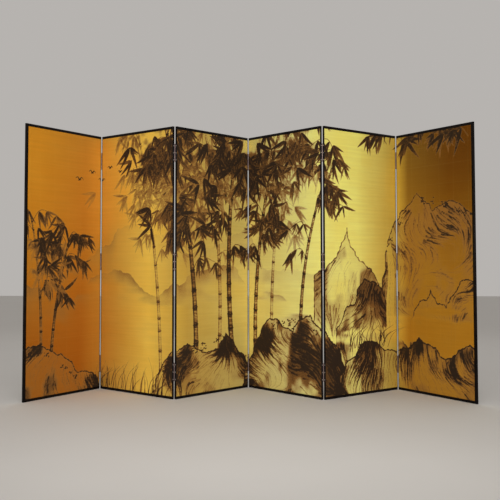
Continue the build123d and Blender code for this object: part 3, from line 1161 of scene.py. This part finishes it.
def add_screw(bm, matrix, head, shank, sunk, length):
    """A slotted countersunk screw with its head's face at the origin and its shank along -Z."""
    # Shares of the length, of the shank, twice of the head's radius, and of the depth of its cone
    straight, tip, land, slot_width, slot_depth = 0.8, 0.3, 0.16, 0.14, 0.55
    screw = bmesh.new()
    rim = bmesh.ops.create_circle(screw, cap_ends=True, segments=HEAD_SIDES, radius=head)["verts"]
    ring = list({edge for vert in rim for edge in vert.link_edges})
    for radius, depth in ((shank, sunk), (shank, length * straight), (shank * tip, length)):
        grown = bmesh.ops.extrude_edge_only(screw, edges=ring)["geom"]
        verts = of_kind(bmesh.types.BMVert, grown)
        ring = [e for e in of_kind(bmesh.types.BMEdge, grown) if all(v in verts for v in e.verts)]
        size = math.hypot(*verts[0].co.xy)
        bmesh.ops.scale(screw, vec=(radius / size, radius / size, 0), verts=verts)
        bmesh.ops.translate(screw, vec=(0, 0, -depth), verts=verts)
    bmesh.ops.contextual_create(screw, geom=ring)
    screw.faces.ensure_lookup_table()
    top = max(screw.faces, key=lambda f: f.calc_center_median().z)
    bmesh.ops.inset_region(screw, faces=[top], thickness=head * land)
    for side in (-head * slot_width, head * slot_width):
        level = [f for f in screw.faces if abs(f.calc_center_median().z) < SAME and len(f.verts) > 4]
        geom = list({item for f in level for item in (f, *f.edges, *f.verts)})
        bmesh.ops.bisect_plane(screw, geom=geom, plane_co=(0, side, 0), plane_no=(0, 1, 0))
    slot = min(screw.faces, key=lambda f: f.calc_center_median().length)
    _, bottom = pull(screw, [slot])
    bmesh.ops.translate(screw, vec=(0, 0, -sunk * slot_depth), verts=bottom)
    join(bm, screw, matrix)


def add_pin(bm, low, high):
    """A pin with domed ends, which fills its box."""
    pin = bmesh.new()
    radius = (high.x - low.x) / 2
    size = {"radius1": radius, "radius2": radius, "depth": high.z - low.z}
    middle = Matrix.Translation((low + high) / 2)
    bmesh.ops.create_cone(pin, cap_ends=True, segments=PIN_SIDES, matrix=middle, **size)
    ends = [edge for edge in pin.edges if abs(edge.verts[0].co.z - edge.verts[1].co.z) < SAME]
    bevel(pin, ends, radius * DOME, 3)
    join(bm, pin)


class FOLDINGSCREEN_OT_hinges(bpy.types.Operator):
    """Makes the leaves, pins and screws of the hinges"""

    bl_idname = "folding_screen.hinges"
    bl_label = "Hinges"

    def execute(self, context):
        settings = context.scene.folding_screen_hinge
        leaf_metal = hinge_metal("hinge_metal", settings.metal, settings, 0.35)
        pin_metal = hinge_metal("pin_steel", settings.steel, settings, 0.3)
        screw_metal = hinge_metal("screw_steel", settings.screw, settings, 0.4)
        folds = range(1, FOLDS + 1)
        edges = [HingeEdge(fold, side) for fold in folds for side in ("left", "right")]
        for edge in edges:
            self.leaves(edge, settings, leaf_metal)
        for edge in edges:
            if edge.side == "left":
                self.pins(edge, pin_metal)
        for number in PLACES:
            self.screws(number, [edge for edge in edges if edge.number == number], screw_metal)
        return {"FINISHED"}

    def leaves(self, edge, settings, material):
        node = f"fold_{edge.fold}_{edge.side}_leaves"
        holes = [
            ((low + high) / 2, (high.z - low.z) / 2, shank) for low, high, shank, _ in edge.screws()
        ]
        bm = bmesh.new()
        for points in edge.stacked(node, HINGE_GAP):
            low, high = bounds_of(points)
            own = [hole for hole in holes if low.z < hole[0].z < high.z]
            add_leaf(bm, points, own, settings.corner, settings.rounding)
        plate = bm.verts.layers.float.new("plate")
        barrel = bounds_of(edge.points(node))[1].x
        for vert in bm.verts:
            vert[plate] = float(math.hypot(vert.co.x, vert.co.y) > barrel * PLATE)
        replace_node(bm, node, "rolled", edge.matrix, material)

    def pins(self, edge, material):
        node = f"fold_{edge.fold}_pins"
        bm = bmesh.new()
        for points in edge.stacked(node, HINGE_GAP):
            add_pin(bm, *bounds_of(points))
        replace_node(bm, node, "turned", edge.matrix, material)

    def screws(self, number, edges, material):
        node = f"panel_{number}_screws"
        bm = bmesh.new()
        found = [(edge, *screw) for edge in edges for screw in edge.screws()]
        for count, (edge, low, high, shank, points) in enumerate(found):
            sunk = high.x - max(p.x for p in points if p.x < high.x - HEAD_EDGE)
            face = Vector((high.x, (low.y + high.y) / 2, (low.z + high.z) / 2))
            turn = Matrix.Rotation(math.pi / 2, 4, "Y") @ Matrix.Rotation(count * SLOT_TURN, 4, "Z")
            matrix = edge.matrix @ Matrix.Translation(face) @ turn
            add_screw(bm, matrix, (high.z - low.z) / 2, shank, sunk, high.x - low.x)
        replace_node(bm, node, "slotted", Matrix.Identity(4), material)


class FOLDINGSCREEN_OT_backs(bpy.types.Operator):
    """Papers the backs and gives the lattice its wood"""

    bl_idname = "folding_screen.backs"
    bl_label = "Backs and lattice"

    def execute(self, context):
        settings = context.scene.folding_screen_back
        finishes = {"_backing": backing_paper(settings), "_lattice": cedar(settings)}
        for name, node in frame["nodes"].items():
            for ending, material in finishes.items():
                if name.endswith(ending):
                    for place in node.material_slots:
                        place.material = material
        return {"FINISHED"}


class FOLDINGSCREEN_OT_stage(bpy.types.Operator):
    """Sets the floor, the light and the camera"""

    bl_idname = "folding_screen.stage"
    bl_label = "Stage"

    def execute(self, context):
        settings = context.scene.folding_screen_stage
        self.floor(settings)
        self.light(settings)
        self.camera(settings)
        context.scene.view_settings.view_transform = "Standard"
        return {"FINISHED"}

    def floor(self, settings):
        bm = bmesh.new()
        bmesh.ops.create_grid(bm, x_segments=1, y_segments=1, size=14)
        mesh = bpy.data.meshes.new("floor")
        bm.to_mesh(mesh)
        bm.free()
        s = Shader("floor")
        tone = s.noise(s.place(), 0.6, detail=3)
        colour = s.mix(tone, settings.floor * 0.94, settings.floor)
        mesh.materials.append(s.finish(Base_Color=colour, Roughness=0.7 + tone * 0.1))
        floor = add_object("floor", mesh)
        floor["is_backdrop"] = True

    def light(self, settings):
        world = bpy.data.worlds.new("studio")
        bpy.context.scene.world = world
        world.use_nodes = True
        background = world.node_tree.nodes["Background"]
        background.inputs["Color"].default_value = (*settings.backdrop, 1)
        background.inputs["Strength"].default_value = 1.0
        for name, place, width, height, power, spread, aim in (
            ("key", (0.0, -3.5, 1.2), 2.6, 1.1, settings.key, 90, (0.0, 0.0, 0.8)),
            ("back", (0.0, 3.5, 2.8), 2.0, 2.0, settings.key * 0.6, 180, (0.0, 0.0, 0.7)),
        ):
            lamp = bpy.data.lights.new(name, "AREA")
            lamp.shape, lamp.size, lamp.size_y = "RECTANGLE", width, height
            lamp.energy, lamp.spread = power, math.radians(spread)
            holder = add_object(name, lamp)
            holder.location = place
            heading = Vector(aim) - Vector(place)
            holder.rotation_euler = heading.to_track_quat("-Z", "Y").to_euler()

    def camera(self, settings):
        lens = bpy.data.cameras.new("camera")
        lens.sensor_width, lens.lens = 36, settings.focal_length
        lens.shift_x, lens.shift_y = 0.044, -0.0588
        camera = add_object("camera", lens)
        camera.location = (-0.0187, -4.8029, 0.7535)
        camera.rotation_euler = (math.radians(90 + 2.87), 0, math.radians(1.18))
        bpy.context.scene.camera = camera


class FOLDINGSCREEN_PT_panel(bpy.types.Panel):
    """Lists the pieces and their settings"""

    bl_idname = "FOLDINGSCREEN_PT_panel"
    bl_label = "Folding Screen"
    bl_space_type = "VIEW_3D"
    bl_region_type = "UI"
    bl_category = "Folding Screen"

    def draw(self, context):
        for name, (settings, operator) in GROUPS.items():
            box = self.layout.box()
            for prop in settings.__annotations__:
                box.prop(getattr(context.scene, name), prop)
            box.operator(operator.bl_idname)


GROUPS = {
    "folding_screen_picture": (PictureSettings, FOLDINGSCREEN_OT_pictures),
    "folding_screen_frame": (FrameSettings, FOLDINGSCREEN_OT_frames),
    "folding_screen_hinge": (HingeSettings, FOLDINGSCREEN_OT_hinges),
    "folding_screen_back": (BackSettings, FOLDINGSCREEN_OT_backs),
    "folding_screen_stage": (StageSettings, FOLDINGSCREEN_OT_stage),
}


def register():
    for name, (settings, operator) in GROUPS.items():
        bpy.utils.register_class(settings)
        setattr(bpy.types.Scene, name, PointerProperty(type=settings))
        bpy.utils.register_class(operator)
    bpy.utils.register_class(FOLDINGSCREEN_PT_panel)


def unregister():
    bpy.utils.unregister_class(FOLDINGSCREEN_PT_panel)
    for name, (settings, operator) in GROUPS.items():
        bpy.utils.unregister_class(operator)
        delattr(bpy.types.Scene, name)
        bpy.utils.unregister_class(settings)


def main():
    register()
    bpy.ops.folding_screen.pictures()
    bpy.ops.folding_screen.frames()
    bpy.ops.folding_screen.hinges()
    bpy.ops.folding_screen.backs()
    bpy.ops.folding_screen.stage()


if __name__ == "__main__":
    main()
